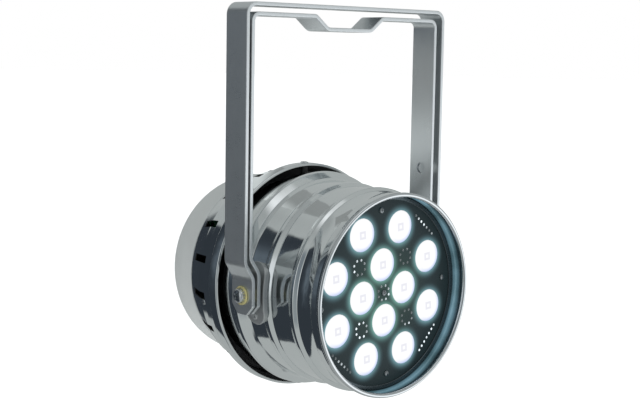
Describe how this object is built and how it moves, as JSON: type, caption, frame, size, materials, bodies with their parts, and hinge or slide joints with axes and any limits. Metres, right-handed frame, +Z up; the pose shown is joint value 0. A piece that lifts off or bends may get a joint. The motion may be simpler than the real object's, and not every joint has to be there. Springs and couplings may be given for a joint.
{
  "type": "par can light",
  "caption": "Short polished par can with a ribbed spun body, a vented domed rear cap, a black LED front plate with round lenses and a double hanging bracket.",
  "frame": {"origin": "centre of the hanging hole, on the top face of the outer bracket; the tilt axis is 303 mm below it", "axes": "+Z up along the hanging hole, -Y the way the light shines, X along the tilt axis"},
  "size_m": [0.289, 0.2997, 0.4309],
  "materials": {
    "bracket_paint": "satin silver-grey paint",
    "polished_can": "polished spun aluminium",
    "cap_metal": "spun aluminium, polished band and satin dome",
    "pad_paint": "satin grey paint",
    "screw_steel": "bright zinc-plated steel",
    "yellow_zinc": "yellow-passivated zinc plate",
    "brass_posts": "turned brass",
    "nylon_black": "black nylon",
    "plate_black": "gloss black paint with a teal tint",
    "ring_dark": "dark satin paint",
    "lens_clear": "clear acrylic, lit",
    "holder_black": "black moulded polycarbonate",
    "board_white": "white solder mask on an aluminium-core board",
    "emitter_yellow": "phosphor dome on a ceramic base",
    "sink_aluminium": "extruded aluminium",
    "sheet_steel": "zinc-coated sheet",
    "board_green": "green solder mask",
    "panel_black": "fine-textured black paint",
    "window_red": "smoked red acrylic",
    "button_black": "black moulded plastic",
    "socket_metal": "dark plated die-cast shell",
    "contact_metal": "nickel-plated contact"
  },
  "bodies": {
    "hanger": {"outer_bracket": "bracket_paint"},
    "floor_bracket": {"inner_bracket": "bracket_paint"},
    "can": {"pivot_bolts": "screw_steel", "toothed_washers": "screw_steel", "yellow_washers": "yellow_zinc", "bracket_spacers": "yellow_zinc", "pivot_spacers": "nylon_black", "pivot_nuts": "screw_steel", "side_pads": "pad_paint", "pad_rivets": "screw_steel", "can_shell": "polished_can", "rear_cap": "cap_metal", "flange_screws": "screw_steel", "flange_spacers": "screw_steel", "vent_screws": "screw_steel", "front_plate": "plate_black", "plate_ring": "ring_dark", "plate_screws": "screw_steel", "plate_standoffs": "brass_posts", "lens_1": "lens_clear", "lens_2": "lens_clear", "lens_3": "lens_clear", "lens_4": "lens_clear", "lens_5": "lens_clear", "lens_6": "lens_clear", "lens_7": "lens_clear", "lens_8": "lens_clear", "lens_9": "lens_clear", "lens_10": "lens_clear", "lens_11": "lens_clear", "lens_12": "lens_clear", "lens_holders": "holder_black", "led_board": "board_white", "led_emitters": "emitter_yellow", "heatsink": "sink_aluminium", "heatsink_feet": "sheet_steel", "fan_frame": "holder_black", "chassis_tray": "sheet_steel", "power_supply": "sheet_steel", "driver_board": "board_green", "board_spacers": "brass_posts", "rear_panel": "panel_black", "panel_screws": "screw_steel", "display_module": "board_green", "display_window": "window_red", "dmx_input": "socket_metal", "dmx_output": "socket_metal", "power_inlet": "button_black", "inlet_pins": "contact_metal", "fuse_holder": "button_black"},
    "fan": {"fan_rotor": "holder_black"},
    "menu": {"button_menu": "button_black"},
    "down": {"button_down": "button_black"},
    "up": {"button_up": "button_black"},
    "enter": {"button_enter": "button_black"},
    "latch": {"output_latch": "contact_metal"}
  },
  "joints": [
    {"name": "can_tilt", "type": "hinge", "parent": "hanger", "child": "can", "pos_m": [0, 0, -0.303], "axis": [1, 0, 0], "range_deg": [-170, 170]},
    {"name": "bracket_swing", "type": "hinge", "parent": "hanger", "child": "floor_bracket", "pos_m": [0, 0, -0.303], "axis": [1, 0, 0], "range_deg": [-170, 170]},
    {"name": "fan_spin", "type": "hinge", "parent": "can", "child": "fan", "pos_m": [0, 0, -0.303], "axis": [0, -0.9998, -0.0175], "continuous": true},
    {"name": "menu_press", "type": "slide", "parent": "can", "child": "menu", "axis": [0, -0.9998, -0.0175], "range_m": [0, 0.0012], "stiffness_N_per_m": 900, "springref_m": -0.0008},
    {"name": "down_press", "type": "slide", "parent": "can", "child": "down", "axis": [0, -0.9998, -0.0175], "range_m": [0, 0.0012], "stiffness_N_per_m": 900, "springref_m": -0.0008},
    {"name": "up_press", "type": "slide", "parent": "can", "child": "up", "axis": [0, -0.9998, -0.0175], "range_m": [0, 0.0012], "stiffness_N_per_m": 900, "springref_m": -0.0008},
    {"name": "enter_press", "type": "slide", "parent": "can", "child": "enter", "axis": [0, -0.9998, -0.0175], "range_m": [0, 0.0012], "stiffness_N_per_m": 900, "springref_m": -0.0008},
    {"name": "latch_press", "type": "slide", "parent": "can", "child": "latch", "axis": [0, -0.9998, -0.0175], "range_m": [0, 0.0008], "stiffness_N_per_m": 900, "springref_m": -0.0008}
  ]
}
